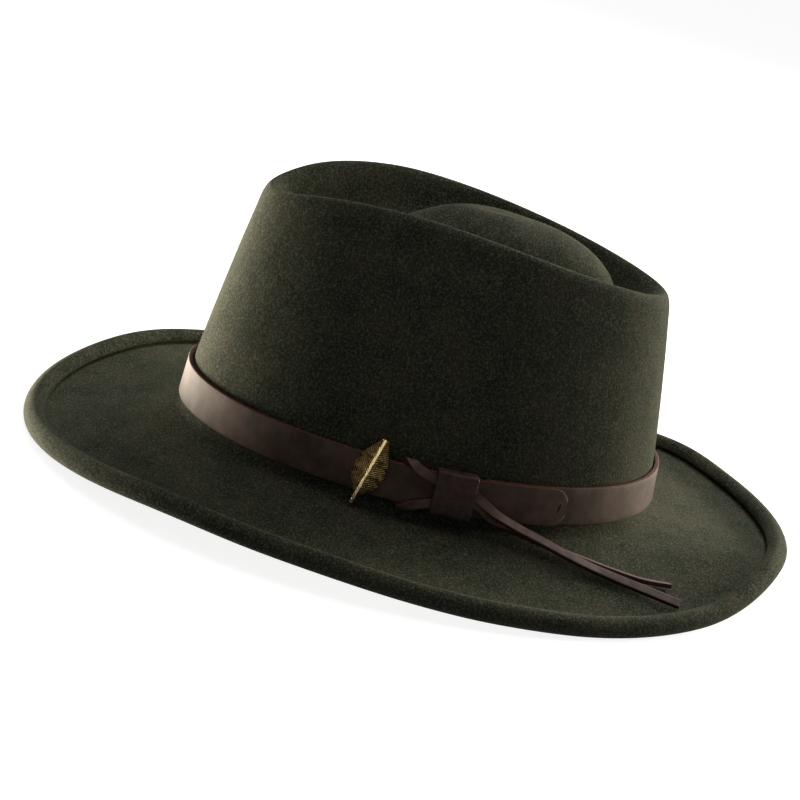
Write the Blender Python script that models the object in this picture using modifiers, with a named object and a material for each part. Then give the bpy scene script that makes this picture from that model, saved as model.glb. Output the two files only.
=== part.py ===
"""A wool felt fedora with a leather band, a knotted thong and a brass feather pin, at rest on its brim.

The front of the hat points to -Y and its left side to +X. Sizes are in metres and taken on the outside of the felt.
"""

import math

import bmesh
import bpy
from mathutils import Vector

# Felt body: the crown's foot, where it leaves the brim.
FELT_WALL = 0.0025
FOOT_FRONT = 0.1015
FOOT_BACK = 0.1015
FOOT_SIDE = 0.0860
FOOT_LEVEL = 0.0170
FOOT_EGG = 0.045

# Felt body: the rim round the hollow top of the crown.
CROWN_HEIGHT = 0.1096
RIM_LENGTH = 0.0875
RIM_WIDTH = 0.0540
RIM_SHIFT = 0.0010
RIM_EGG = 0.13
CREASE_DEPTH = 0.0300

# Felt body: the brim and the roll along its edge. The roll's sizes are half its hollow's width and height.
EDGE_FRONT = 0.1648
EDGE_BACK = 0.1648
EDGE_SIDE = 0.1487
EDGE_RISE = 0.0090
ROLL_OUT = 0.0019
ROLL_UP = 0.0017
ROLL_TURN = math.radians(225)
ROLL_STEPS = 9
FLATTENED = 0.0004

# Leather strap round the crown.
PIECE_GAP = 0.0003
STRAP_WALL = 0.0020
STRAP_WIDTH = 0.0155
STRAP_LEVEL = 0.0055
STRAP_START = 0.0120
STRAP_END = 0.0475
END_ROUND = 0.0060
LIFT_FROM = -0.0480
LIFT_FULL = -0.0240

# Keeper, the sleeve that holds the thong on the strap.
KEEPER_LENGTH = 0.0160
KEEPER_WALL = 0.0012
KEEPER_ROUND = 0.0012

# Thong, laced behind the strap and led through the keeper.
THONG_WIDTH = 0.0040
THONG_WALL = 0.0018

# Feather pin on the strap.
PIN_AT = -0.0330
PIN_LEVEL = 0.0148
PIN_LENGTH = 0.0290
PIN_WIDTH = 0.0130
PIN_WALL = 0.0014
PIN_QUILL = 0.0018
PIN_LEAN = math.radians(15)

AROUND = 60

# Wall of the crown from foot to rim: share of the height, share of the way in at the sides, and at front and back.
WALL_ROWS = (
    (0.00, 0.00, 0.00),
    (0.05, 0.01, 0.03),
    (0.20, 0.05, 0.11),
    (0.38, 0.17, 0.28),
    (0.56, 0.35, 0.47),
    (0.74, 0.57, 0.67),
    (0.88, 0.78, 0.84),
    (0.97, 0.94, 0.96),
    (1.00, 1.00, 1.00),
)

# Height of the rim from front to back: share of the half length, share of CROWN_HEIGHT.
TOP_LINE = (
    (-1.00, 0.910),
    (-0.70, 0.980),
    (-0.35, 1.000),
    (0.00, 0.975),
    (0.50, 0.907),
    (1.00, 0.823),
)

# Hollow top, from the rim in to the dome: shift to the back, half length and half width as shares of the rim's,
# then the depth at the front, at the sides and at the back as shares of CREASE_DEPTH.
HOLLOW_ROWS = (
    (-0.011, 0.965, 0.940, 0.04, 0.04, 0.04),
    (-0.006, 0.935, 0.890, 0.23, 0.20, 0.17),
    (-0.006, 0.902, 0.840, 0.50, 0.37, 0.30),
    (0.006, 0.856, 0.780, 0.80, 0.50, 0.40),
    (0.030, 0.795, 0.690, 0.97, 0.57, 0.45),
    (0.062, 0.700, 0.575, 0.95, 0.46, 0.36),
    (0.110, 0.590, 0.460, 0.68, 0.23, 0.13),
    (0.145, 0.450, 0.330, 0.34, 0.04, -0.05),
    (0.165, 0.290, 0.195, 0.04, -0.07, -0.14),
    (0.180, 0.135, 0.085, -0.07, -0.12, -0.16),
)

# Brim from the foot out to the roll: share of the way out, share of the fall that is still to come.
BRIM_ROWS = (
    (0.16, 0.800),
    (0.32, 0.580),
    (0.50, 0.370),
    (0.68, 0.190),
    (0.82, 0.075),
    (0.93, 0.015),
)

# Round foot of the crown: distance out from the wall, height above the foot, in the felt's wall thickness.
FOOT_ROWS = (
    (1.50, -0.12),
    (0.55, 0.10),
    (0.10, 0.55),
)

# Lift of the brim's edge round the hat: direction in degrees, -90 at the front, and share of EDGE_RISE.
EDGE_ROWS = (
    (-90, 0.00),
    (-80, 0.00),
    (-64, 0.42),
    (-42, 1.02),
    (-20, 0.84),
    (0, 0.35),
    (14, 0.10),
    (26, 0.00),
    (46, 0.26),
    (62, 1.30),
    (90, 1.13),
)

# Half of the thong's loop, from the keeper over the strap's edge to behind it: place along the strap, distance in from
# that edge, share of the way from behind the strap to its front, and how far the face has turned over, in degrees.
LOOP_ROWS = (
    (0.0080, 0.0064, 1.00, 0),
    (0.0000, 0.0045, 1.00, 0),
    (-0.0080, 0.0030, 1.00, 0),
    (-0.0120, 0.0017, 1.00, 0),
    (-0.0155, 0.0003, 0.99, 10),
    (-0.0178, -0.0010, 0.87, 55),
    (-0.0188, -0.0013, 0.51, 90),
    (-0.0193, -0.0009, 0.12, 135),
    (-0.0196, 0.0010, 0.00, 180),
)

# The thong's two free ends, from the keeper to their tips: direction from the left side to the back in degrees, share
# of the way out over the brim, height of the thong's middle above the felt, and tilt of its face in degrees.
UPPER_TAIL = (
    (8.6, 0.140, 0.0138, 8),
    (13.4, 0.151, 0.0092, 22),
    (22.4, 0.215, 0.0053, 40),
    (30.0, 0.360, 0.0036, 48),
    (36.0, 0.580, 0.0025, 52),
    (40.4, 0.862, 0.0023, 55),
)
LOWER_TAIL = (
    (8.5, 0.117, 0.0082, 8),
    (15.1, 0.101, 0.0044, 35),
    (25.7, 0.153, 0.0038, 62),
    (33.6, 0.278, 0.0031, 64),
    (40.5, 0.464, 0.0024, 64),
    (44.3, 0.636, 0.0022, 64),
)

# Section of the feather pin from one edge to the other: side and share of the half width, side and share of half the
# quill, and height in the pin's wall.
FEATHER_SECTION = (
    (-1, 0.0, 0.00),
    (-1, 0.0, 0.45),
    (0, -1.0, 0.80),
    (0, -0.5, 1.25),
    (0, 0.5, 1.25),
    (0, 1.0, 0.80),
    (1, 0.0, 0.45),
    (1, 0.0, 0.00),
)

# Feather pin from the quill's end to the tip: share of the length, share of the half width.
FEATHER_ROWS = (
    (0.00, 0.18),
    (0.15, 0.20),
    (0.20, 0.42),
    (0.29, 0.74),
    (0.38, 0.93),
    (0.42, 0.78),
    (0.47, 1.00),
    (0.58, 0.97),
    (0.62, 0.80),
    (0.67, 0.90),
    (0.80, 0.66),
    (0.91, 0.38),
    (1.00, 0.18),
)


def material(name, colour, roughness, metallic=0.0):
    made = bpy.data.materials.new(name)
    made.use_nodes = True
    shader = made.node_tree.nodes["Principled BSDF"]
    shader.inputs["Base Color"].default_value = (*colour, 1.0)
    shader.inputs["Roughness"].default_value = roughness
    shader.inputs["Metallic"].default_value = metallic
    return made


def mix(first, second, share):
    return first + (second - first) * share


def smooth(share):
    share = min(max(share, 0.0), 1.0)
    return share * share * (3 - 2 * share)


def curve_at(rows, place, column):
    """The value of a column at a place in the first column, on a smooth curve through the rows."""
    last = len(rows) - 1
    before = max(i for i in range(last) if i == 0 or rows[i][0] <= place)

    def slope(i):
        low, high = max(i - 1, 0), min(i + 1, last)
        return (rows[high][column] - rows[low][column]) / (rows[high][0] - rows[low][0])

    step = rows[before + 1][0] - rows[before][0]
    t = (place - rows[before][0]) / step
    start, end = rows[before][column], rows[before + 1][column]
    return (
        start * (1 + 2 * t) * (1 - t) ** 2
        + slope(before) * step * t * (1 - t) ** 2
        + end * t * t * (3 - 2 * t)
        + slope(before + 1) * step * t * t * (t - 1)
    )


def step_at(rows, place, column):
    """The same, level at each row, so that two equal rows keep a level stretch between them."""
    before = max(i for i in range(len(rows) - 1) if i == 0 or rows[i][0] <= place)
    share = (place - rows[before][0]) / (rows[before + 1][0] - rows[before][0])
    return mix(rows[before][column], rows[before + 1][column], smooth(share))


def oval(turn, front, back, side, egg=0.0):
    """A point of an oval with its own length to the front and to the back. Egg widens the back."""
    length = back if math.sin(turn) > 0 else front
    return Vector((side * math.cos(turn) * (1 + egg * math.sin(turn)), length * math.sin(turn), 0.0))


def foot_oval(turn, out=0.0):
    return oval(turn, FOOT_FRONT + out, FOOT_BACK + out, FOOT_SIDE + out, FOOT_EGG)


def edge_oval(turn, out=0.0):
    return oval(turn, EDGE_FRONT + out, EDGE_BACK + out, EDGE_SIDE + out)


def rim_height(y):
    """Height of the rim above the foot at a distance from the middle, to the back."""
    return CROWN_HEIGHT * curve_at(TOP_LINE, min(max((y - RIM_SHIFT) / RIM_LENGTH, -1.0), 1.0), 1)


def wall_point(turn, share):
    """A point on the outside of the crown, at a share of its height."""
    foot = foot_oval(turn)
    rim = oval(turn, RIM_LENGTH, RIM_LENGTH, RIM_WIDTH, RIM_EGG) + Vector((0, RIM_SHIFT, 0))
    x = mix(foot.x, rim.x, curve_at(WALL_ROWS, share, 1))
    y = mix(foot.y, rim.y, curve_at(WALL_ROWS, share, 2))
    return Vector((x, y, FOOT_LEVEL + share * rim_height(rim.y)))


def brim_point(turn, share, fall):
    """A point on top of the brim. Its trough lies a little low, and is cut level where the brim rests."""
    inner, outer = foot_oval(turn), edge_oval(turn, -FELT_WALL - ROLL_OUT)
    place = inner.lerp(outer, share)
    place.z = mix(trough_level(turn), FOOT_LEVEL, fall)
    return place


def trough_level(turn):
    degrees = math.degrees(math.asin(math.sin(turn)))
    return FELT_WALL - FLATTENED + EDGE_RISE * step_at(EDGE_ROWS, degrees, 1)


def roll_point(turn, bend):
    place = edge_oval(turn, ROLL_OUT * (math.sin(bend) - 1) - FELT_WALL)
    place.z = trough_level(turn) + ROLL_UP * (1 - math.cos(bend))
    return place


def foot_point(turn, out, up):
    place = foot_oval(turn, out * FELT_WALL)
    place.z = FOOT_LEVEL + up * FELT_WALL
    return place


def hollow_point(turn, row):
    shift, length, width, front, side, back = row
    place = oval(turn, RIM_LENGTH * length, RIM_LENGTH * length, RIM_WIDTH * width, RIM_EGG)
    place.y += RIM_SHIFT + shift * RIM_LENGTH
    end = front if math.sin(turn) < 0 else back
    depth = mix(side, end, abs(math.sin(turn)) ** 1.5)
    place.z = FOOT_LEVEL + rim_height(place.y) - depth * CREASE_DEPTH
    return place


def felt_rings():
    """Rings on the upper side of the felt, from the edge of the brim to the middle of the dome."""
    turns = [2 * math.pi * step / AROUND for step in range(AROUND)]
    rings = []
    for step in range(ROLL_STEPS, -1, -1):
        rings.append([roll_point(turn, ROLL_TURN * step / ROLL_STEPS) for turn in turns])
    for share, fall in reversed(BRIM_ROWS):
        rings.append([brim_point(turn, share, fall) for turn in turns])
    for out, up in FOOT_ROWS:
        rings.append([foot_point(turn, out, up) for turn in turns])
    for row in WALL_ROWS[1:]:
        rings.append([wall_point(turn, row[0]) for turn in turns])
    for row in HOLLOW_ROWS:
        rings.append([hollow_point(turn, row) for turn in turns])
    return rings


def loft(bm, rings, closed=True):
    """Joins rings of equal count with faces, and returns their vertices."""
    made = [[bm.verts.new(point) for point in ring] for ring in rings]
    count = len(made[0])
    for low, high in zip(made, made[1:]):
        for i in range(count if closed else count - 1):
            j = (i + 1) % count
            bm.faces.new((low[i], low[j], high[j], high[i]))
    return made


def finish(name, bm, look):
    mesh = bpy.data.meshes.new(name)
    bm.to_mesh(mesh)
    bm.free()
    for face in mesh.polygons:
        face.use_smooth = True
    mesh.materials.append(look)
    made = bpy.data.objects.new(name, mesh)
    bpy.context.scene.collection.objects.link(made)
    return made


def strip(name, stations, look):
    """A closed strip through stations of four corners each, with a flat face at both ends."""
    bm = bmesh.new()
    made = loft(bm, stations)
    bm.faces.new(reversed(made[0]))
    bm.faces.new(made[-1])
    bmesh.ops.recalc_face_normals(bm, faces=bm.faces)
    return finish(name, bm, look)


def make_felt():
    felt = material("wool_felt", (0.030, 0.032, 0.022), 0.95)
    bm = bmesh.new()
    rings = loft(bm, felt_rings())
    middle = sum((vert.co for vert in rings[-1]), Vector()) / AROUND
    centre = bm.verts.new(middle)
    for i in range(AROUND):
        bm.faces.new((rings[-1][i], rings[-1][(i + 1) % AROUND], centre))
    hat = finish("felt_body", bm, felt)
    wall = hat.modifiers.new("felt_wall", "SOLIDIFY")
    wall.thickness = FELT_WALL
    wall.offset = -1

    floor = bmesh.new()
    bmesh.ops.create_cube(floor, size=1.0)
    bmesh.ops.scale(floor, vec=(1.0, 1.0, 0.1), verts=floor.verts)
    bmesh.ops.translate(floor, vec=(0, 0, -0.05), verts=floor.verts)
    cutter = finish("floor_cutter", floor, felt)
    cutter.hide_render = True
    cutter.display_type = "WIRE"
    rest = hat.modifiers.new("flat_rest", "BOOLEAN")
    rest.operation = "DIFFERENCE"
    rest.solver = "EXACT"
    rest.object = cutter


def foot_lengths(steps=720):
    """Length along the crown's foot from the left side to each turn, going to the back."""
    total, lengths = 0.0, [0.0]
    for i in range(steps):
        one, two = (foot_oval(2 * math.pi * n / steps) for n in (i, i + 1))
        total += (two - one).length
        lengths.append(total)
    return lengths


FOOT_LENGTHS = foot_lengths()
FOOT_ROUND = FOOT_LENGTHS[-1]


def turn_at(along):
    """The direction of a place along the crown's foot, measured from the left side to the back."""
    along = along % FOOT_ROUND
    after = next(i for i, length in enumerate(FOOT_LENGTHS) if i and length >= along)
    low, high = FOOT_LENGTHS[after - 1], FOOT_LENGTHS[after]
    return 2 * math.pi * (after - 1 + (along - low) / (high - low)) / (len(FOOT_LENGTHS) - 1)


def on_wall(along, height, out):
    """A point off the crown's wall, its direction along the wall, up the wall, and away from it."""
    turn, small = turn_at(along), 1e-3

    def at(turn, height):
        rim = oval(turn, RIM_LENGTH, RIM_LENGTH, RIM_WIDTH, RIM_EGG)
        return wall_point(turn, height / rim_height(rim.y + RIM_SHIFT))

    place = at(turn, height)
    back = (at(turn + small, height) - at(turn - small, height)).normalized()
    up = (at(turn, height + small) - at(turn, height - small)).normalized()
    away = back.cross(up).normalized()
    return place + away * out, back, up, away


def strap_lift(along):
    """How far the strap's inner face stands off the felt, on its last stretch over the thong and over its own start."""
    share = smooth((along - FOOT_ROUND - LIFT_FROM) / (LIFT_FULL - LIFT_FROM))
    return PIECE_GAP + share * (STRAP_WALL + PIECE_GAP)


def strap_outside(along):
    """Distance from the felt to the strap's outer face near the knot."""
    return strap_lift(along + FOOT_ROUND) + STRAP_WALL


def strap_station(along):
    """Corners of the strap. Its free end is rounded."""
    left = FOOT_ROUND + STRAP_END - along
    narrow = END_ROUND * (1 - math.sqrt(max(0.0, 1 - (1 - min(left / END_ROUND, 1.0)) ** 2)))
    low, high = STRAP_LEVEL + narrow, STRAP_LEVEL + STRAP_WIDTH - narrow
    near, far = strap_lift(along), strap_lift(along) + STRAP_WALL
    return [on_wall(along, up, out)[0] for up, out in ((low, near), (high, near), (high, far), (low, far))]


def make_strap():
    leather = material("brown_leather", (0.045, 0.026, 0.018), 0.45)
    end = FOOT_ROUND + STRAP_END
    steps = 84
    places = [mix(STRAP_START, end - END_ROUND, i / steps) for i in range(steps + 1)]
    places += [end - END_ROUND * (1 - math.sin(math.radians(turn))) for turn in (20, 40, 60, 80)]
    strip("leather_strap", [strap_station(along) for along in places], leather)


def make_keeper():
    """A sleeve round the strap and both runs of the thong."""
    leather = material("red_brown_leather", (0.055, 0.024, 0.016), 0.5)
    inside = PIECE_GAP
    outside = strap_outside(0) + THONG_WALL + 2 * PIECE_GAP
    low, high = STRAP_LEVEL - PIECE_GAP, STRAP_LEVEL + STRAP_WIDTH + PIECE_GAP
    bm = bmesh.new()
    rings = []
    for step in range(7):
        along = KEEPER_LENGTH * (step / 6 - 0.5)
        rings.append([on_wall(along, up, out)[0] for up, out in sleeve(low, high, inside, outside)])
    join_sleeve(bm, rings)
    finish("keeper", bm, leather)


def sleeve(low, high, near, far):
    """Inner and outer corners of the sleeve: the first half is its outside, the second half its inside."""
    wall, cut = KEEPER_WALL, KEEPER_ROUND
    outer = [
        (low - wall, near),
        (low - wall, far + wall - cut),
        (low - wall + cut, far + wall),
        (high + wall - cut, far + wall),
        (high + wall, far + wall - cut),
        (high + wall, near),
    ]
    inner = [(low, near + wall), (low, far), (low + cut, far), (high - cut, far), (high, far), (high, near + wall)]
    return outer + inner


def join_sleeve(bm, rings):
    """Joins the outside and the inside of a sleeve along its length and at both ends."""
    half = len(rings[0]) // 2
    outer = loft(bm, [ring[:half] for ring in rings])
    inner = loft(bm, [ring[half:] for ring in rings])
    for end in (0, -1):
        for i in range(half):
            j = (i + 1) % half
            bm.faces.new((outer[end][i], outer[end][j], inner[end][j], inner[end][i]))
    bmesh.ops.recalc_face_normals(bm, faces=bm.faces)


def loop_stations(edge, inward):
    """Points and face directions of one half of the loop. Inward is -1 for the strap's upper edge and 1 for the lower."""
    behind = PIECE_GAP + THONG_WALL / 2
    stations = []
    for along, inset, share, turned in LOOP_ROWS:
        front = strap_outside(along) + PIECE_GAP + THONG_WALL / 2
        place, _, up, away = on_wall(along, edge + inward * inset, mix(behind, front, share))
        turned = math.radians(turned)
        stations.append((place, away * math.cos(turned) - up * inward * math.sin(turned)))
    return stations


def tail_stations(rows):
    """Points and face directions of a free end. It follows the top of the brim."""
    stations = []
    for degrees, share, height, tilt in rows:
        place = brim_point(math.radians(degrees), share, curve_at(BRIM_ROWS, share, 1))
        place.z += height
        stations.append((place, Vector((math.cos(math.radians(tilt)), 0, math.sin(math.radians(tilt))))))
    return stations


def eased(stations, steps):
    """Adds stations between the given ones, on a smooth curve through them."""
    count = len(stations)
    rows = [(i, *place, *face) for i, (place, face) in enumerate(stations)]
    made = []
    for i in range((count - 1) * steps + 1):
        values = [curve_at(rows, i / steps, column) for column in range(1, 7)]
        made.append((Vector(values[:3]), Vector(values[3:]).normalized()))
    return made


def make_thong():
    """One flat lace: a free end, through the keeper, round behind the strap, back through the keeper, a free end."""
    leather = material("brown_thong", (0.075, 0.052, 0.042), 0.6)
    upper = loop_stations(STRAP_LEVEL + STRAP_WIDTH, -1)
    lower = loop_stations(STRAP_LEVEL, 1)
    route = tail_stations(UPPER_TAIL)[::-1] + upper + lower[::-1] + tail_stations(LOWER_TAIL)
    route = eased(route, 2)
    corners = []
    for i, (place, face) in enumerate(route):
        run = (route[min(i + 1, len(route) - 1)][0] - route[max(i - 1, 0)][0]).normalized()
        across = run.cross(face).normalized() * THONG_WIDTH / 2
        face = across.cross(run).normalized() * THONG_WALL / 2
        corners.append([place + across + face, place - across + face, place - across - face, place + across - face])
    strip("thong", corners, leather)


def make_pin():
    """A brass feather with a raised quill, lying on the strap."""
    brass = material("aged_brass", (0.28, 0.18, 0.07), 0.38, 1.0)
    half = PIN_WIDTH / 2
    middle, _, up, _ = on_wall(PIN_AT, PIN_LEVEL, strap_outside(PIN_AT))
    ends = [on_wall(PIN_AT + side * half, PIN_LEVEL, strap_outside(PIN_AT + side * half))[0] for side in (-1, 1)]
    across = (ends[1] - ends[0]).normalized()
    away = across.cross(up).normalized()
    up = away.cross(across)
    base = middle + away * (PIECE_GAP + half * half / FOOT_SIDE / 2)
    along = up * math.cos(PIN_LEAN) + across * math.sin(PIN_LEAN)
    across = along.cross(away)
    quill = PIN_QUILL / 2
    stations = []
    for share, width in FEATHER_ROWS:
        spine = base + along * PIN_LENGTH * (share - 0.5)
        stations.append(
            [
                spine + across * (half * width * edge + quill * ridge) + away * PIN_WALL * rise
                for edge, ridge, rise in FEATHER_SECTION
            ]
        )
    strip("feather_pin", stations, brass)


for old in list(bpy.data.objects):
    bpy.data.objects.remove(old)
make_felt()
make_strap()
make_keeper()
make_thong()
make_pin()
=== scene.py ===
"""A wool felt fedora with a leather band, a laced thong and a brass feather pin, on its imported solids.

The front of the hat points to -Y and its left side to +X. It rests on its brim on a lit white table.
Sizes are in metres.
"""

import math

import bmesh
import bpy
from mathutils import Matrix, Vector


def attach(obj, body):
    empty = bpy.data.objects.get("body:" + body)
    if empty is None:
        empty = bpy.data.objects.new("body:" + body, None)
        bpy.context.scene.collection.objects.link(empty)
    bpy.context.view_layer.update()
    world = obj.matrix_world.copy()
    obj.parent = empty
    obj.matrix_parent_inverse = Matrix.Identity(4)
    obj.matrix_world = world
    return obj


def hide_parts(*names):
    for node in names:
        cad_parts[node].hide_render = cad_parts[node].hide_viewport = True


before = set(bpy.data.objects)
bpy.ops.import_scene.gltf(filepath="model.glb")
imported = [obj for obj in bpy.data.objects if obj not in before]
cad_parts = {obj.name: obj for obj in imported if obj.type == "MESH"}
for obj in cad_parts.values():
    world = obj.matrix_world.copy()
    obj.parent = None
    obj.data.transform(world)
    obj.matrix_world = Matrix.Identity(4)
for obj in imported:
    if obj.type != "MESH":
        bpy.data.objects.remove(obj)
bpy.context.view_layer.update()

# Felt body: crown and brim in one piece, a hood of wool felt that is steamed and pressed over a block.
# The top is dented by hand into a teardrop. The brim's raw edge is rolled up and over, and a thin dark
# line shows where it meets the brim again.

FELT_WALL = 0.0025
AROUND = 132

# Half lengths and half widths of three ovals: the crown's foot, its rim and the brim's edge. An egg value
# is the share by which an oval's back is wider. Levels and heights go with them.
FOOT_LENGTH = 0.1015
FOOT_WIDTH = 0.0860
FOOT_LEVEL = 0.0170
FOOT_EGG = 0.045
CROWN_HEIGHT = 0.1096
RIM_LENGTH = 0.0875
RIM_WIDTH = 0.0540
RIM_SHIFT = 0.0010
RIM_EGG = 0.13
CREASE_DEPTH = 0.0300
EDGE_LENGTH = 0.1648
EDGE_WIDTH = 0.1487
EDGE_RISE = 0.0090
TROUGH_LEVEL = 0.0023

# The rim's soft round leaves the wall at a share of its height and ends at a row of the hollow. Its corner
# is raised, so that the round still reaches the rim's height.
RIM_FROM = 0.90
RIM_TO = 1.75
RIM_RAISE = 0.0066
RIM_STEPS = 10

# The rolled edge: half width and half height of the tunnel inside it, and how far round it turns. It
# wanders by these shares of its height, with so many waves round the hat, from a start.
ROLL_OUT = 0.0019
ROLL_UP = 0.0017
ROLL_TURN = math.radians(282)
ROLL_STEPS = 16
ROLL_WAVES = (
    (0.05, 5, 0.7),
    (0.03, 13, 0.0),
)

# On the hat's right side the brim's lift at the back reaches further forward.
FAR_LIFT = 0.0058
FAR_LIFT_AT = math.radians(135)
FAR_LIFT_REACH = math.radians(27)

# Wall of the crown from foot to rim: share of the height, share of the way in at the sides, and at front
# and back.
WALL_ROWS = (
    (0.00, 0.00, 0.00),
    (0.05, 0.01, 0.03),
    (0.20, 0.05, 0.11),
    (0.38, 0.17, 0.28),
    (0.56, 0.35, 0.47),
    (0.74, 0.57, 0.67),
    (0.88, 0.78, 0.84),
    (0.97, 0.94, 0.96),
    (1.00, 1.00, 1.00),
)

# Height of the rim from front to back: share of the half length, share of CROWN_HEIGHT.
TOP_LINE = (
    (-1.00, 0.910),
    (-0.70, 0.980),
    (-0.35, 1.000),
    (0.00, 0.975),
    (0.50, 0.907),
    (1.00, 0.823),
)

# Hollow top, from the rim in to the dome: way in, shift to the back, half length and half width as shares
# of the rim's, then the depth at the front, at the sides and at the back as shares of CREASE_DEPTH.
HOLLOW_ROWS = (
    (0, 0.000, 1.000, 1.000, 0.00, 0.00, 0.00),
    (1, -0.011, 0.950, 0.940, 0.04, 0.04, 0.04),
    (2, -0.006, 0.913, 0.890, 0.23, 0.20, 0.17),
    (3, -0.006, 0.884, 0.840, 0.50, 0.37, 0.30),
    (4, 0.006, 0.848, 0.780, 0.80, 0.50, 0.40),
    (5, 0.030, 0.795, 0.690, 0.97, 0.57, 0.45),
    (6, 0.062, 0.700, 0.575, 0.95, 0.46, 0.36),
    (7, 0.110, 0.590, 0.460, 0.68, 0.23, 0.13),
    (8, 0.145, 0.450, 0.330, 0.34, 0.04, -0.05),
    (9, 0.165, 0.290, 0.195, 0.04, -0.07, -0.14),
    (10, 0.180, 0.135, 0.085, -0.07, -0.12, -0.16),
)

# Brim from the foot out to the roll: share of the way out, share of the fall that is still to come.
BRIM_ROWS = (
    (0.16, 0.800),
    (0.32, 0.580),
    (0.50, 0.370),
    (0.68, 0.190),
    (0.82, 0.075),
    (0.93, 0.015),
)

# Round foot of the crown: distance out from the wall, height above the foot, in the felt's wall thickness.
FOOT_ROWS = (
    (1.50, -0.12),
    (0.55, 0.10),
    (0.10, 0.55),
)

# Lift of the brim's edge round the hat: direction in degrees, -90 at the front, and share of EDGE_RISE. It
# is averaged over a few directions, which rounds off its steps.
EDGE_SPREADS = (-8, -4, 0, 4, 8)
EDGE_ROWS = (
    (-90, 0.00),
    (-80, 0.00),
    (-64, 0.42),
    (-42, 1.02),
    (-20, 0.84),
    (0, 0.35),
    (14, 0.10),
    (26, 0.00),
    (46, 0.26),
    (62, 1.30),
    (90, 1.13),
)

# Where the rings of the felt lie: shares of the way out over the brim, shares of the wall's height, and
# ways in over the hollow, in sixths of a row.
BRIM_SHARES = (0.97, 0.93, 0.87, 0.80, 0.71, 0.62, 0.53, 0.44, 0.35, 0.27, 0.20, 0.14)
WALL_SHARES = (0.04, 0.09, 0.15, 0.22, 0.30, 0.38, 0.46, 0.54, 0.62, 0.69, 0.76, 0.83, 0.87)
HOLLOW_SIXTHS = range(13, 61, 2)


def mix(first, second, share):
    return first + (second - first) * share


def smooth(share):
    share = min(max(share, 0.0), 1.0)
    return share * share * (3 - 2 * share)


def curve_at(rows, place, column):
    """The value of a column at a place in the first column, on a smooth curve through the rows."""
    last = len(rows) - 1
    before = max(i for i in range(last) if i == 0 or rows[i][0] <= place)

    def slope(i):
        low, high = max(i - 1, 0), min(i + 1, last)
        return (rows[high][column] - rows[low][column]) / (rows[high][0] - rows[low][0])

    step = rows[before + 1][0] - rows[before][0]
    t = (place - rows[before][0]) / step
    start, end = rows[before][column], rows[before + 1][column]
    return (
        start * (1 + 2 * t) * (1 - t) ** 2
        + slope(before) * step * t * (1 - t) ** 2
        + end * t * t * (3 - 2 * t)
        + slope(before + 1) * step * t * t * (t - 1)
    )


def step_at(rows, place, column):
    """The same, level at each row, so that two equal rows keep a level stretch between them."""
    before = max(i for i in range(len(rows) - 1) if i == 0 or rows[i][0] <= place)
    share = (place - rows[before][0]) / (rows[before + 1][0] - rows[before][0])
    return mix(rows[before][column], rows[before + 1][column], smooth(share))


def oval(turn, length, width, egg=0.0):
    """A point of an oval. Egg widens the back."""
    return Vector((width * math.cos(turn) * (1 + egg * math.sin(turn)), length * math.sin(turn), 0.0))


def foot_oval(turn, out=0.0):
    return oval(turn, FOOT_LENGTH + out, FOOT_WIDTH + out, FOOT_EGG)


def edge_oval(turn, out=0.0):
    return oval(turn, EDGE_LENGTH + out, EDGE_WIDTH + out)


def rim_height(y):
    """Height of the rim above the foot at a distance from the middle, to the back."""
    return CROWN_HEIGHT * curve_at(TOP_LINE, min(max((y - RIM_SHIFT) / RIM_LENGTH, -1.0), 1.0), 1)


def wall_point(turn, share):
    """A point on the outside of the crown, at a share of its height."""
    foot = foot_oval(turn)
    rim = oval(turn, RIM_LENGTH, RIM_WIDTH, RIM_EGG) + Vector((0, RIM_SHIFT, 0))
    x = mix(foot.x, rim.x, curve_at(WALL_ROWS, share, 1))
    y = mix(foot.y, rim.y, curve_at(WALL_ROWS, share, 2))
    return Vector((x, y, FOOT_LEVEL + share * rim_height(rim.y)))


def trough_level(turn):
    """Height of the brim's lowest line, which runs just inside the roll."""
    lift = 0.0
    for spread in EDGE_SPREADS:
        direction = math.degrees(math.asin(math.sin(turn + math.radians(spread))))
        lift += step_at(EDGE_ROWS, direction, 1) / len(EDGE_SPREADS)
    apart = abs(math.remainder(turn - FAR_LIFT_AT, 2 * math.pi)) / FAR_LIFT_REACH
    return TROUGH_LEVEL + EDGE_RISE * lift + FAR_LIFT * max(1 - apart**2, 0.0) ** 2


def brim_point(turn, share):
    """A point on top of the brim, at a share of the way from the crown's foot to the roll."""
    place = foot_oval(turn).lerp(edge_oval(turn, -FELT_WALL - ROLL_OUT), share)
    place.z = mix(trough_level(turn), FOOT_LEVEL, curve_at(BRIM_ROWS, share, 1))
    return place


def roll_point(turn, bend):
    """A point on the inside of the roll. Felt rolled by hand is never quite even, so its height wanders."""
    uneven = 1 + sum(share * math.sin(waves * turn + start) for share, waves, start in ROLL_WAVES)
    place = edge_oval(turn, ROLL_OUT * (math.sin(bend) - 1) - FELT_WALL)
    place.z = trough_level(turn) + ROLL_UP * uneven * (1 - math.cos(bend))
    return place


def foot_point(turn, out, up):
    place = foot_oval(turn, out * FELT_WALL)
    place.z = FOOT_LEVEL + up * FELT_WALL
    return place


def hollow_point(turn, way_in):
    """A point on the hollow top, at a number of rows in from the rim."""
    shift, length, width, front, side, back = (
        curve_at(HOLLOW_ROWS, way_in, column) for column in range(1, 7)
    )
    place = oval(turn, RIM_LENGTH * length, RIM_WIDTH * width, RIM_EGG)
    place.y += RIM_SHIFT + shift * RIM_LENGTH
    end = front if math.sin(turn) < 0 else back
    depth = mix(side, end, abs(math.sin(turn)) ** 1.5)
    place.z = FOOT_LEVEL + rim_height(place.y) - depth * CREASE_DEPTH
    return place


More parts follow.
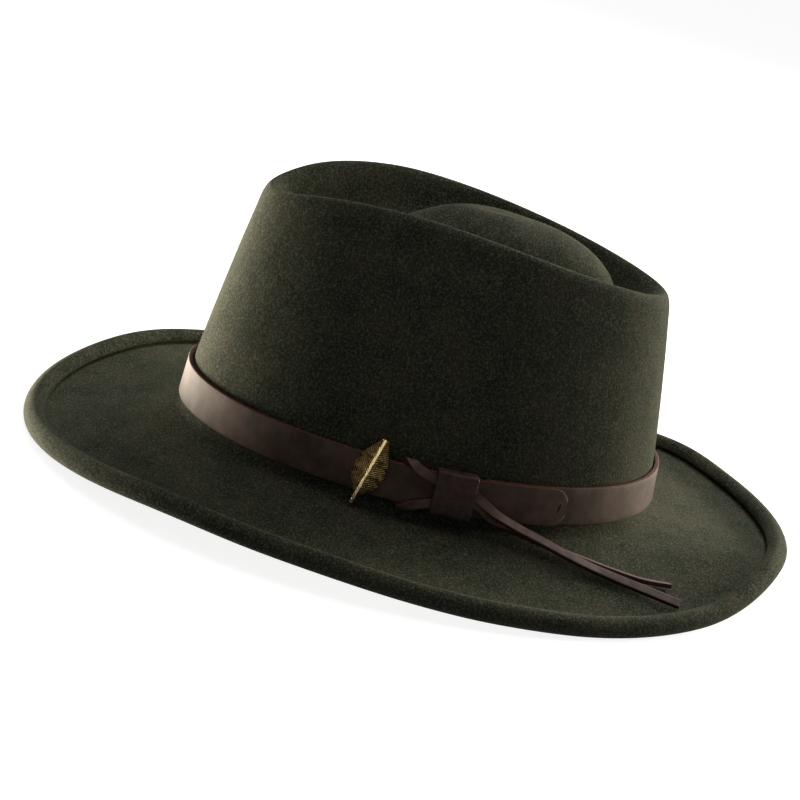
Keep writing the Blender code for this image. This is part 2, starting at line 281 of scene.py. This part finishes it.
def rim_point(turn, share):
    """A point on the soft round of the rim, from the top of the wall over into the hollow."""
    start, corner, end = wall_point(turn, RIM_FROM), wall_point(turn, 1.0), hollow_point(turn, RIM_TO)
    corner.z += RIM_RAISE
    return start * (1 - share) ** 2 + corner * 2 * share * (1 - share) + end * share**2


def felt_rings():
    """Rings on the upper side of the felt, from the raw edge of the brim to the middle of the dome."""
    turns = [2 * math.pi * step / AROUND for step in range(AROUND)]
    rings = []
    for step in range(ROLL_STEPS, -1, -1):
        rings.append([roll_point(turn, ROLL_TURN * step / ROLL_STEPS) for turn in turns])
    for share in BRIM_SHARES:
        rings.append([brim_point(turn, share) for turn in turns])
    for out, up in FOOT_ROWS:
        rings.append([foot_point(turn, out, up) for turn in turns])
    for share in WALL_SHARES:
        rings.append([wall_point(turn, share) for turn in turns])
    for step in range(RIM_STEPS + 1):
        rings.append([rim_point(turn, step / RIM_STEPS) for turn in turns])
    for sixths in HOLLOW_SIXTHS:
        rings.append([hollow_point(turn, sixths / 6) for turn in turns])
    return rings


def first_ring(bm, points):
    """A circle of as many corners as there are points, set on them."""
    ring = bmesh.ops.create_circle(bm, segments=len(points), radius=1.0)["verts"]
    for vert, point in zip(ring, points):
        vert.co = point
    return ring


def next_row(bm, row, points, closed=True):
    """Extrudes a row of edges onto the next row's points, and returns the new row in the same order."""
    pairs = zip(row, row[1:] + row[:1]) if closed else zip(row, row[1:])
    made = bmesh.ops.extrude_edge_only(bm, edges=[bm.edges.get(pair) for pair in pairs])["geom"]
    new = {part for part in made if isinstance(part, bmesh.types.BMVert)}
    following = []
    for vert in row:
        following.append(next(e.other_vert(vert) for e in vert.link_edges if e.other_vert(vert) in new))
    for vert, point in zip(following, points):
        vert.co = point
    return following


def finished(name, bm, *looks):
    """Makes the mesh an object at the origin, with smooth faces and its materials."""
    mesh = bpy.data.meshes.new(name)
    bm.to_mesh(mesh)
    bm.free()
    for face in mesh.polygons:
        face.use_smooth = True
    for look in looks:
        mesh.materials.append(look)
    made = bpy.data.objects.new(name, mesh)
    bpy.context.scene.collection.objects.link(made)
    return made


def colour(code):
    """An sRGB hex value as linear red, green, blue and alpha."""
    channels = [int(code[i : i + 2], 16) / 255 for i in (1, 3, 5)]
    return [c / 12.92 if c <= 0.04045 else ((c + 0.055) / 1.055) ** 2.4 for c in channels] + [1.0]


def add_node(look, kind, settings, links=None, stops=()):
    """Adds a node with its fields and inputs set, links to inputs from (node, output), and a ramp's stops."""
    made = look.node_tree.nodes.new(kind)
    for key, value in settings.items():
        if isinstance(key, str) and hasattr(made, key):
            setattr(made, key, value)
        else:
            made.inputs[key].default_value = value
    for key, (source, output) in (links or {}).items():
        look.node_tree.links.new(source.outputs[output], made.inputs[key])
    for count, (position, code) in enumerate(stops):
        elements = made.color_ramp.elements
        element = elements[count] if count < 2 else elements.new(position)
        element.position = position
        element.color = colour(code)
    return made


def new_look(name, sockets):
    """A material with values on its shader's sockets, and that shader."""
    look = bpy.data.materials.new(name)
    look.use_nodes = True
    shader = look.node_tree.nodes["Principled BSDF"]
    for socket, value in sockets.items():
        shader.inputs[socket].default_value = value
    return look, shader


# Wool felt, milled and pressed. Greens and browns are carded together, so the surface is flecked at the
# size of a tuft of fibres, 0.9 mm, and clouded over 15 mm. Pressing leaves soft dents 6 mm wide, and the
# nap stands in tufts of 0.8 mm. It is matt and shines softly only where light grazes it. A single fibre,
# 0.02 mm, is too fine to show.
FLECK = 0.0009
CLOUD = 0.015
DENT = 0.006
TUFT = 0.0008

felt, shader = new_look(
    "milled_wool_felt",
    {
        "Roughness": 1.0,
        "Specular IOR Level": 0.1,
        "Sheen Weight": 0.14,
        "Sheen Roughness": 0.3,
        "Sheen Tint": colour("#a8a37c"),
    },
)
spot = add_node(felt, "ShaderNodeTexCoord", {})
cloud = add_node(
    felt,
    "ShaderNodeTexNoise",
    {"Scale": 1 / CLOUD, "Detail": 3.0, "Roughness": 0.6},
    {"Vector": (spot, "Object")},
)
fleck = add_node(
    felt,
    "ShaderNodeTexNoise",
    {"Scale": 1 / FLECK, "Detail": 4.0, "Roughness": 0.75},
    {"Vector": (spot, "Object")},
)
clouded = add_node(
    felt,
    "ShaderNodeValToRGB",
    {},
    {"Fac": (cloud, "Fac")},
    ((0.38, "#191d15"), (0.62, "#363026"), (0.50, "#292c21")),
)
flecked = add_node(
    felt,
    "ShaderNodeValToRGB",
    {},
    {"Fac": (fleck, "Fac")},
    ((0.37, "#0e100b"), (0.64, "#646753"), (0.50, "#2a2d20")),
)
wool = add_node(
    felt, "ShaderNodeMix", {"data_type": "RGBA", 0: 0.5}, {6: (clouded, "Color"), 7: (flecked, "Color")}
)
pressed = add_node(
    felt, "ShaderNodeTexNoise", {"Scale": 1 / DENT, "Detail": 2.0}, {"Vector": (spot, "Object")}
)
dents = add_node(
    felt, "ShaderNodeBump", {"Strength": 0.25, "Distance": 0.0006}, {"Height": (pressed, "Fac")}
)
nap = add_node(
    felt,
    "ShaderNodeTexNoise",
    {"Scale": 1 / TUFT, "Detail": 3.0, "Roughness": 0.7},
    {"Vector": (spot, "Object")},
)
relief = add_node(
    felt,
    "ShaderNodeBump",
    {"Strength": 0.8, "Distance": 0.0004},
    {"Height": (nap, "Fac"), "Normal": (dents, "Normal")},
)
felt.node_tree.links.new(wool.outputs[2], shader.inputs["Base Color"])
felt.node_tree.links.new(relief.outputs["Normal"], shader.inputs["Normal"])

bm = bmesh.new()
rings = felt_rings()
ring = first_ring(bm, rings[0])
for points in rings[1:]:
    ring = next_row(bm, ring, points)
cap = bmesh.ops.contextual_create(bm, geom=ring)["faces"]
bmesh.ops.poke(bm, faces=cap)
bmesh.ops.recalc_face_normals(bm, faces=bm.faces)
if max(bm.faces, key=lambda face: face.calc_center_median().z).normal.z < 0:
    bmesh.ops.reverse_faces(bm, faces=bm.faces)
felt_hat = finished("felt_hat", bm, felt)
wall = felt_hat.modifiers.new("felt_wall", "SOLIDIFY")
wall.thickness = FELT_WALL
wall.offset = -1
wall.use_even_offset = True
rounding = felt_hat.modifiers.new("soft_edges", "SUBSURF")
rounding.levels = 1
rounding.render_levels = 1
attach(felt_hat, "root")
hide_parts("felt_body")

# Leather strap round the crown: bridle leather 2 mm thick and 15.5 mm wide, cut straight with raw edges.
# It goes once round the crown, over the thong's back run. Its rounded end laps over its own start, and a
# short slanted slit is cut through that end.

PIECE_GAP = 0.0003
SHARP_ANGLE = math.radians(50)
STRAP_WALL = 0.0020
STRAP_WIDTH = 0.0155
STRAP_LEVEL = 0.0055
STRAP_STEPS = 236
EDGE_CORNER = 0.0005

# Places along the strap, from the knot to the back: its start, its end's tip, and where its last stretch
# leaves the felt and is fully over the thong. The end's round is as long as END_ROUND.
STRAP_START = 0.0120
STRAP_END = 0.0475
END_ROUND = 0.0060
LIFT_FROM = -0.0480
LIFT_FULL = -0.0240

# The slit: place along the strap, height on the wall, width, length and depth, and lean.
SLIT_ALONG = 0.0440
SLIT_HEIGHT = 0.0132
SLIT_SIZE = (0.0008, 0.0042, 0.0032)
SLIT_LEAN = math.radians(-14)


def foot_lengths(steps=720):
    """Length along the crown's foot from the left side to each turn, going to the back."""
    total, lengths = 0.0, [0.0]
    for i in range(steps):
        one, two = (foot_oval(2 * math.pi * n / steps) for n in (i, i + 1))
        total += (two - one).length
        lengths.append(total)
    return lengths


FOOT_LENGTHS = foot_lengths()
FOOT_ROUND = FOOT_LENGTHS[-1]


def turn_at(along):
    """The direction of a place along the crown's foot, measured from the left side to the back."""
    along = along % FOOT_ROUND
    after = next(i for i, length in enumerate(FOOT_LENGTHS) if i and length >= along)
    low, high = FOOT_LENGTHS[after - 1], FOOT_LENGTHS[after]
    return 2 * math.pi * (after - 1 + (along - low) / (high - low)) / (len(FOOT_LENGTHS) - 1)


def on_wall(along, height, out):
    """A point off the crown's wall, its direction along the wall, up the wall, and away from it."""
    turn, small = turn_at(along), 1e-3

    def at(turn, height):
        rim = oval(turn, RIM_LENGTH, RIM_WIDTH, RIM_EGG)
        return wall_point(turn, height / rim_height(rim.y + RIM_SHIFT))

    spot = at(turn, height)
    back = (at(turn + small, height) - at(turn - small, height)).normalized()
    up = (at(turn, height + small) - at(turn, height - small)).normalized()
    away = back.cross(up).normalized()
    return spot + away * out, back, up, away


def strap_lift(along):
    """How far the strap's inner face stands off the felt: a gap, or more where it laps over its start."""
    share = smooth((along - FOOT_ROUND - LIFT_FROM) / (LIFT_FULL - LIFT_FROM))
    return PIECE_GAP + share * (STRAP_WALL + PIECE_GAP)


def strap_outside(along):
    """Distance from the felt to the strap's outer face near the knot."""
    return strap_lift(along + FOOT_ROUND) + STRAP_WALL


def flat_section(width, wall, corner):
    """Points round a flat strip's section, as (across, outwards), with rounded corners.

    Four more points divide the outer face, so that it can be domed.
    """
    points = []
    for side, out, start in ((1, -1, -90), (1, 1, 0), (-1, 1, 90), (-1, -1, 180)):
        for step in range(4):
            bend = math.radians(start + 30 * step)
            across = side * (width / 2 - corner) + corner * math.cos(bend)
            points.append((across, out * (wall / 2 - corner) + corner * math.sin(bend)))
    points[8:8] = [(share * width / 2, wall / 2) for share in (0.6, 0.2, -0.2, -0.6)]
    return points


def strip_mesh(stations, section, raw_from):
    """A closed strip along stations of (place, across, outwards, share of the width).

    The strip's raw edges and its ends carry a vertex attribute, raw, of 1.
    """
    bm = bmesh.new()
    raw = bm.verts.layers.float.new("raw")
    row, rows = None, []
    for spot, across, outwards, share in stations:
        points = [spot + across * side * share + outwards * out for side, out in section]
        row = next_row(bm, row, points) if row else first_ring(bm, points)
        rows.append(row)
    for row in rows:
        for vert, (side, out) in zip(row, section):
            vert[raw] = 1.0 if abs(side) > raw_from else 0.0
    for row in (rows[0], rows[-1]):
        cap = bmesh.ops.contextual_create(bm, geom=row)["faces"]
        for vert in bmesh.ops.poke(bm, faces=cap)["verts"]:
            vert[raw] = 1.0
    bmesh.ops.recalc_face_normals(bm, faces=bm.faces)
    return bm


PORE_SPACING = 0.0005
FIBRE_BUNDLE = 0.0006


def leather_look(name, face, edge, wrinkle, creased, roughness, specular):
    """Smooth leather: clouds of dye that also paint shade into its creases, pores 0.5 mm apart, and a raw
    edge's own colours.

    Wrinkle is the size of its creases and of the clouds of dye, and creased their depth. Fibres in a cut
    edge show as bundles 0.6 mm wide.
    """
    look, shader = new_look(name, {"Roughness": roughness, "Specular IOR Level": specular})
    spot = add_node(look, "ShaderNodeTexCoord", {})
    # The dye shares the creases' noise, so its dark end paints shade into their hollows.
    dye_and_shade_noise = add_node(
        look, "ShaderNodeTexNoise", {"Scale": 1 / wrinkle, "Detail": 4.0}, {"Vector": (spot, "Object")}
    )
    dye_and_shade = add_node(
        look, "ShaderNodeValToRGB", {}, {"Fac": (dye_and_shade_noise, "Fac")}, ((0.35, face[0]), (0.68, face[1]))
    )
    fibre = add_node(
        look,
        "ShaderNodeTexNoise",
        {"Scale": 1 / FIBRE_BUNDLE, "Detail": 2.0, "Roughness": 0.6},
        {"Vector": (spot, "Object")},
    )
    cut = add_node(
        look, "ShaderNodeValToRGB", {}, {"Fac": (fibre, "Fac")}, ((0.35, edge[0]), (0.70, edge[1]))
    )
    raw = add_node(look, "ShaderNodeAttribute", {"attribute_name": "raw"})
    skin = add_node(
        look,
        "ShaderNodeMix",
        {"data_type": "RGBA"},
        {0: (raw, "Fac"), 6: (dye_and_shade, "Color"), 7: (cut, "Color")},
    )
    pores = add_node(look, "ShaderNodeTexVoronoi", {"Scale": 1 / PORE_SPACING}, {"Vector": (spot, "Object")})
    creases = add_node(
        look, "ShaderNodeTexNoise", {"Scale": 1 / wrinkle, "Detail": 3.0}, {"Vector": (spot, "Object")}
    )
    folds = add_node(
        look, "ShaderNodeBump", {"Strength": 0.6, "Distance": creased}, {"Height": (creases, "Fac")}
    )
    grain = add_node(
        look,
        "ShaderNodeBump",
        {"Strength": 0.35, "Distance": 0.0001},
        {"Height": (pores, "Distance"), "Normal": (folds, "Normal")},
    )
    look.node_tree.links.new(skin.outputs[2], shader.inputs["Base Color"])
    look.node_tree.links.new(grain.outputs["Normal"], shader.inputs["Normal"])
    return look


# Bridle leather is waxed, so its dark brown face has a broad dull gloss. Its cut edges stay a redder
# brown. It is firm, so its creases are 9 mm wide and faint.
bridle_leather = leather_look(
    "waxed_bridle_leather",
    face=("#382c22", "#54423b"),
    edge=("#2c1710", "#5a3522"),
    wrinkle=0.009,
    creased=0.0004,
    roughness=0.7,
    specular=0.14,
)

end = FOOT_ROUND + STRAP_END
places = [mix(STRAP_START, end - END_ROUND, step / STRAP_STEPS) for step in range(STRAP_STEPS + 1)]
places += [end - END_ROUND * (1 - math.sin(math.radians(turn))) for turn in range(10, 90, 10)]
stations = []
for along in places:
    left = min((end - along) / END_ROUND, 1.0)
    share = 1 - 2 * END_ROUND * (1 - math.sqrt(1 - (1 - left) ** 2)) / STRAP_WIDTH
    middle = strap_lift(along) + STRAP_WALL / 2
    spot, back, up, away = on_wall(along, STRAP_LEVEL + STRAP_WIDTH / 2, middle)
    stations.append((spot, up, away, share))
section = flat_section(STRAP_WIDTH, STRAP_WALL, EDGE_CORNER)
bm = strip_mesh(stations, section, STRAP_WIDTH / 2 - 0.6 * EDGE_CORNER)
strap = finished("leather_band", bm, bridle_leather)

spot, back, up, away = on_wall(SLIT_ALONG, SLIT_HEIGHT, strap_outside(SLIT_ALONG))
slanted = Matrix((back, up, away)).transposed() @ Matrix.Rotation(SLIT_LEAN, 3, "Z")
bm = bmesh.new()
bmesh.ops.create_cone(bm, cap_ends=True, segments=24, radius1=0.5, radius2=0.5, depth=1.0)
bmesh.ops.scale(bm, vec=SLIT_SIZE, verts=bm.verts)
bmesh.ops.transform(bm, matrix=Matrix.Translation(spot) @ slanted.to_4x4(), verts=bm.verts)
cutter = finished("slit_cutter", bm)
slit = strap.modifiers.new("slit", "BOOLEAN")
slit.operation = "DIFFERENCE"
slit.solver = "EXACT"
slit.object = cutter
cut_mesh = bpy.data.meshes.new_from_object(strap.evaluated_get(bpy.context.evaluated_depsgraph_get()))
strap.modifiers.clear()
strap.data = cut_mesh
bpy.data.objects.remove(cutter)
strap.data.set_sharp_from_angle(angle=SHARP_ANGLE)
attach(strap, "root")
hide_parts("leather_strap")

# Keeper: the sleeve that holds the thong on the strap, a short strip of softer, redder leather. It is
# wrapped round the strap and both runs of the thong, joined behind them and pulled over the lace, so its
# face is domed and creased.

KEEPER_LENGTH = 0.0160
KEEPER_WALL = 0.0012
KEEPER_CORNER = 0.0017
KEEPER_STEPS = 16
THONG_WALL = 0.0018

# The face rises in a dome between the ends and dips in one crease: height, depth, and the crease's place
# and half width in steps along the sleeve.
DOME_HEIGHT = 0.0003
CREASE_DIP = 0.0002
CREASE_AT = 10
CREASE_REACH = 1.6

# Oil-tanned leather is redder than the strap, with light raw edges. It is soft, so it creases every 3 mm.
oiled_leather = leather_look(
    "oil_tanned_leather",
    face=("#180c08", "#3e251a"),
    edge=("#4a2418", "#7a4a34"),
    wrinkle=0.003,
    creased=0.0011,
    roughness=0.6,
    specular=0.22,
)

# The sleeve reaches from just off the felt to over the thong, and round both edges of the strap.
near, far = PIECE_GAP, strap_outside(0) + THONG_WALL + 2 * PIECE_GAP + KEEPER_WALL
low, high = STRAP_LEVEL - PIECE_GAP - KEEPER_WALL, STRAP_LEVEL + STRAP_WIDTH + PIECE_GAP + KEEPER_WALL
section = flat_section(high - low, far - near, KEEPER_CORNER)
bm = bmesh.new()
row = None
for step in range(KEEPER_STEPS + 1):
    share = step / KEEPER_STEPS - 0.5
    spot, back, up, away = on_wall(KEEPER_LENGTH * share, (low + high) / 2, (near + far) / 2)
    puff = DOME_HEIGHT * math.cos(math.pi * share)
    puff -= CREASE_DIP * math.exp(-(((step - CREASE_AT) / CREASE_REACH) ** 2))
    points = []
    for side, out in section:
        lift = puff * (1 - (2 * side / (high - low)) ** 2) if out > 0 else 0.0
        points.append(spot + up * side + away * (out + lift))
    row = next_row(bm, row, points) if row else first_ring(bm, points)
bmesh.ops.recalc_face_normals(bm, faces=bm.faces)
keeper = finished("keeper_sleeve", bm, oiled_leather)
wall = keeper.modifiers.new("keeper_wall", "SOLIDIFY")
wall.thickness = KEEPER_WALL
wall.offset = -1
rounding = keeper.modifiers.new("soft_edges", "SUBSURF")
rounding.levels = 1
rounding.render_levels = 1
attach(keeper, "root")
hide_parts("keeper")

# Thong: one flat lace 4 mm wide, cut from 1.8 mm leather. It goes through the keeper, round behind the
# strap and back through the keeper, and its two cut ends hang loose over the brim.

THONG_WIDTH = 0.0040
THONG_CORNER = 0.0004
EASE_STEPS = 6

# Half of the thong's loop, from the keeper over the strap's edge to behind it: place along the strap,
# distance in from that edge, share of the way from behind the strap to its front, and how far the face has
# turned over, in degrees.
LOOP_ROWS = (
    (0.0080, 0.0064, 1.00, 0),
    (0.0000, 0.0045, 1.00, 0),
    (-0.0080, 0.0030, 1.00, 0),
    (-0.0120, 0.0017, 1.00, 0),
    (-0.0155, 0.0003, 0.99, 10),
    (-0.0178, -0.0010, 0.87, 55),
    (-0.0188, -0.0013, 0.51, 90),
    (-0.0193, -0.0009, 0.12, 135),
    (-0.0196, 0.0010, 0.00, 180),
)

# The thong's two free ends, from the keeper to their tips: direction from the left side to the back in
# degrees, share of the way out over the brim, height of the thong's middle above the felt, and tilt of its
# face in degrees.
UPPER_TAIL = (
    (8.7, 0.136, 0.0125, 46),
    (13.6, 0.148, 0.0088, 56),
    (20.3, 0.228, 0.0062, 62),
    (26.1, 0.345, 0.0045, 64),
    (31.5, 0.467, 0.0031, 60),
    (35.8, 0.619, 0.0028, 57),
    (39.7, 0.835, 0.0027, 55),
)
LOWER_TAIL = (
    (8.8, 0.102, 0.0090, 20),
    (14.6, 0.103, 0.0056, 62),
    (21.5, 0.177, 0.0034, 88),
    (27.9, 0.265, 0.0027, 97),
    (33.2, 0.394, 0.0026, 100),
    (38.1, 0.532, 0.0025, 100),
    (42.8, 0.640, 0.0025, 100),
)


def loop_stations(edge, inward):
    """Points and face directions of half of the loop. Inward is -1 at the strap's upper edge, or 1."""
    behind = PIECE_GAP + THONG_WALL / 2
    stations = []
    for along, inset, share, turned in LOOP_ROWS:
        front = strap_outside(along) + PIECE_GAP + THONG_WALL / 2
        spot, _, up, away = on_wall(along, edge + inward * inset, mix(behind, front, share))
        turned = math.radians(turned)
        stations.append((spot, away * math.cos(turned) - up * inward * math.sin(turned)))
    return stations


def tail_stations(rows):
    """Points and face directions of a free end. It follows the top of the brim."""
    stations = []
    for degrees, share, height, tilt in rows:
        spot = brim_point(math.radians(degrees), share)
        spot.z += height
        stations.append((spot, Vector((math.cos(math.radians(tilt)), 0, math.sin(math.radians(tilt))))))
    return stations


def eased(stations, steps):
    """Adds stations between the given ones, on a smooth curve through them."""
    rows = [(i, *spot, *face) for i, (spot, face) in enumerate(stations)]
    made = []
    for i in range((len(rows) - 1) * steps + 1):
        values = [curve_at(rows, i / steps, column) for column in range(1, 7)]
        made.append((Vector(values[:3]), Vector(values[3:]).normalized()))
    return made


# Lace leather is dry and greyed by handling on its faces, with dark red-brown cut edges.
lace_leather = leather_look(
    "greyed_lace_leather",
    face=("#3e2f27", "#5a483e"),
    edge=("#280f0a", "#4c2117"),
    wrinkle=0.006,
    creased=0.0003,
    roughness=0.62,
    specular=0.2,
)

upper = loop_stations(STRAP_LEVEL + STRAP_WIDTH, -1)
lower = loop_stations(STRAP_LEVEL, 1)
whole_lace = tail_stations(UPPER_TAIL)[::-1] + upper + lower[::-1] + tail_stations(LOWER_TAIL)
route = eased(whole_lace, EASE_STEPS)
stations = []
for i, (spot, face) in enumerate(route):
    run = (route[min(i + 1, len(route) - 1)][0] - route[max(i - 1, 0)][0]).normalized()
    across = run.cross(face).normalized()
    stations.append((spot, across, across.cross(run).normalized(), 1.0))
section = flat_section(THONG_WIDTH, THONG_WALL, THONG_CORNER)
upper_mouth = EASE_STEPS * len(UPPER_TAIL)
lower_mouth = len(stations) - 1 - EASE_STEPS * len(LOWER_TAIL)
runs = {
    "thong_upper_tail": stations[: upper_mouth + 1][::-1],
    "thong_loop": stations[upper_mouth : lower_mouth + 1],
    "thong_lower_tail": stations[lower_mouth:],
}
for name, run in runs.items():
    lace = finished(name, strip_mesh(run, section, THONG_WIDTH / 2 - 0.5 * THONG_CORNER), lace_leather)
    lace.data.set_sharp_from_angle(angle=SHARP_ANGLE)
    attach(lace, "root")
    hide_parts("thong")
    if name != "thong_loop":
        path = [tuple(station[0]) for station in run]
        length = sum(math.dist(one, two) for one, two in zip(path, path[1:]))

# Feather pin: a small feather, cast in brass, antiqued, rubbed bright on its ridges and pinned through the
# strap. The quill stands up in the middle, and the barbs slant up from it to both edges.

PIN_AT = -0.0330
PIN_LEVEL = 0.0148
PIN_LENGTH = 0.0290
PIN_WIDTH = 0.0130
PIN_WALL = 0.0014
PIN_QUILL = 0.0018
PIN_LEAN = math.radians(15)
PIN_GRID = (36, 110)

# Barbs: distance between them, rise for each length out, share of the length where they start, and the
# distance from the middle over which they gain their height, which is a share of the pin's thickness.
BARB_SPACING = 0.0011
BARB_SLANT = 0.9
BARBS_FROM = 0.16
BARB_EASE = 0.0012
BARB_HEIGHT = 0.22

# Feather from the quill's end to the tip: share of the length, share of the half width.
FEATHER_ROWS = (
    (0.00, 0.18),
    (0.15, 0.20),
    (0.20, 0.42),
    (0.29, 0.74),
    (0.38, 0.93),
    (0.42, 0.78),
    (0.47, 1.00),
    (0.58, 0.97),
    (0.62, 0.80),
    (0.67, 0.90),
    (0.80, 0.66),
    (0.91, 0.38),
    (1.00, 0.18),
)

# Antiqued brass: darkened all over, then polished, so it is bright and smooth on the ridges and nearly
# black and dull between them. The tarnish is mottled over 1.5 mm.
TARNISH = 0.0015

brass, shader = new_look("antiqued_cast_brass", {"Metallic": 1.0, "Roughness": 0.34})
spot = add_node(brass, "ShaderNodeTexCoord", {})
tarnish = add_node(
    brass, "ShaderNodeTexNoise", {"Scale": 1 / TARNISH, "Detail": 3.0}, {"Vector": (spot, "Object")}
)
ridge = add_node(brass, "ShaderNodeAttribute", {"attribute_name": "ridge"})
worn = add_node(
    brass,
    "ShaderNodeMath",
    {"operation": "MULTIPLY_ADD", 1: 0.35},
    {0: (tarnish, "Fac"), 2: (ridge, "Fac")},
)
tone = add_node(
    brass,
    "ShaderNodeValToRGB",
    {},
    {"Fac": (worn, "Value")},
    ((0.30, "#140f09"), (1.0, "#cdb685"), (0.66, "#66512f")),
)
# Inputs 3 and 4 are the roughness of the hollows and of the ridges.
rough = add_node(brass, "ShaderNodeMapRange", {3: 0.6, 4: 0.26}, {0: (worn, "Value")})
pits = add_node(
    brass, "ShaderNodeBump", {"Strength": 0.3, "Distance": 0.0001}, {"Height": (tarnish, "Fac")}
)
brass.node_tree.links.new(tone.outputs["Color"], shader.inputs["Base Color"])
brass.node_tree.links.new(rough.outputs["Result"], shader.inputs["Roughness"])
brass.node_tree.links.new(pits.outputs["Normal"], shader.inputs["Normal"])

half = PIN_WIDTH / 2
middle, _, up, _ = on_wall(PIN_AT, PIN_LEVEL, strap_outside(PIN_AT))
front_end, back_end = (
    on_wall(place, PIN_LEVEL, strap_outside(place))[0] for place in (PIN_AT - half, PIN_AT + half)
)
across = (back_end - front_end).normalized()
away = across.cross(up).normalized()
up = away.cross(across)
base = middle + away * (PIECE_GAP + half * half / FOOT_WIDTH / 2)
along = up * math.cos(PIN_LEAN) + across * math.sin(PIN_LEAN)
across = along.cross(away)
bm = bmesh.new()
bmesh.ops.create_grid(bm, x_segments=PIN_GRID[0], y_segments=PIN_GRID[1], size=1.0)
ridge = bm.verts.layers.float.new("ridge")
for vert in bm.verts:
    side, length = vert.co.x, (vert.co.y + 1) / 2
    width = half * curve_at(FEATHER_ROWS, length, 1)
    out = abs(side) * width
    # The quill has its full height near the middle, and is gone at two thirds of PIN_QUILL from it.
    quill = smooth(1.6 - out / (PIN_QUILL * 0.42))
    slant = (length * PIN_LENGTH - BARB_SLANT * out) / BARB_SPACING
    barb = 0.5 + 0.5 * math.cos(2 * math.pi * slant)
    # The blade thins out to its edge, and the barbs stand on it.
    blade = 0.75 - 0.35 * abs(side) ** 1.6
    barbs = blade + BARB_HEIGHT * barb * smooth(out / BARB_EASE) * (length > BARBS_FROM)
    height = max(barbs, quill * 1.3)
    vert[ridge] = max(0.25 + 0.45 * barb, quill * 0.8) * (1 - 0.25 * abs(side))
    vert.co = base + along * PIN_LENGTH * (length - 0.5) + across * side * width + away * PIN_WALL * height
low_side = bmesh.ops.extrude_face_region(bm, geom=bm.faces[:])["geom"]
flat = [part for part in low_side if isinstance(part, bmesh.types.BMVert)]
for vert in flat:
    vert.co -= away * ((vert.co - base).dot(away))
    vert[ridge] = 0.1
bmesh.ops.recalc_face_normals(bm, faces=bm.faces)
feather = finished("brass_feather", bm, brass)
feather.data.set_sharp_from_angle(angle=SHARP_ANGLE)
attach(feather, "root")
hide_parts("feather_pin")

# Floor, lights and camera: the hat lies on a lit white table. The picture shows it tilted, with a light
# from below the brim's plane, so one strip stands below the table, which throws no shadow. The others
# stand behind and above, and the camera is rolled to give the tilt.

PICTURE = 800
PIXELS_PER_MM = 2.349
CAMERA_AWAY = 1.0
CAMERA_TURN = math.radians(12)
CAMERA_UP = math.radians(17.605)
CAMERA_ROLL = math.radians(-14.183)
AIM = Vector((0, -0.004, 0.0135))
AIM_PIXEL = (403.56, 455.77)


def look_from(turn, up, roll):
    """Turns a camera to look along the line from a direction round the hat, and a height over the floor."""
    back = Vector((math.cos(turn) * math.cos(up), -math.sin(turn) * math.cos(up), math.sin(up)))
    right = Vector((0, 0, 1)).cross(back).normalized()
    above = back.cross(right)
    side = math.cos(roll) * right - math.sin(roll) * above
    top = math.sin(roll) * right + math.cos(roll) * above
    return Matrix((side, top, back)).transposed().to_4x4(), back


# Matt white acrylic, lit from beneath: an even white without shine, with only the hat's soft shadow on it.
white_acrylic, shader = new_look(
    "lit_white_acrylic",
    {
        "Base Color": colour("#b8b8b8"),
        "Roughness": 0.9,
        "Specular IOR Level": 0.0,
        "Emission Color": colour("#ffffff"),
        "Emission Strength": 0.86,
    },
)
bm = bmesh.new()
bmesh.ops.create_grid(bm, x_segments=1, y_segments=1, size=9.0)
floor = finished("light_table", bm, white_acrylic)
# The table's own light stays off the hat, and the strip below shines through it.
floor.visible_diffuse = False
floor.visible_shadow = False


def soft_box(name, width, height, watts, place, target, code):
    """An area light that faces a point."""
    light = bpy.data.lights.new(name, "AREA")
    light.shape = "RECTANGLE"
    light.size = width
    light.size_y = height
    light.energy = watts
    light.color = colour(code)[:3]
    made = bpy.data.objects.new(name, light)
    made.location = place
    made.rotation_euler = (Vector(place) - Vector(target)).to_track_quat("Z", "Y").to_euler()
    bpy.context.scene.collection.objects.link(made)


# Width, height, watts, place, target and colour. The two strips are a little warm.
soft_box("front_strip", 0.9, 0.4, 82, (-0.82, -0.86, -0.20), (0, 0, 0.05), "#fff6e2")
soft_box("back_strip", 0.8, 0.3, 28, (-0.44, 1.10, 0.20), (0, 0, 0.08), "#fff6e2")
soft_box("high_back_box", 0.8, 0.8, 18, (-0.82, 0.58, 1.02), (0, 0, 0.08), "#ffffff")
soft_box("top_box", 1.2, 1.2, 8, (-0.10, 0.00, 1.5), (0, 0, 0.05), "#ffffff")

# A dim even light from all round keeps the shaded side from going black.
world = bpy.data.worlds.new("studio")
world.use_nodes = True
world.node_tree.nodes["Background"].inputs["Color"].default_value = colour("#ffffff")
world.node_tree.nodes["Background"].inputs["Strength"].default_value = 0.18
bpy.context.scene.world = world
bpy.context.scene.view_settings.view_transform = "Standard"

lens = bpy.data.cameras.new("camera")
lens.lens = PIXELS_PER_MM * CAMERA_AWAY * 1000 * lens.sensor_width / PICTURE
lens.shift_x = -(AIM_PIXEL[0] - PICTURE / 2) / PICTURE
lens.shift_y = (AIM_PIXEL[1] - PICTURE / 2) / PICTURE
camera = bpy.data.objects.new("camera", lens)
bpy.context.scene.collection.objects.link(camera)
camera.matrix_world, back = look_from(CAMERA_TURN, CAMERA_UP, CAMERA_ROLL)
camera.location = AIM + back * CAMERA_AWAY
bpy.context.scene.camera = camera
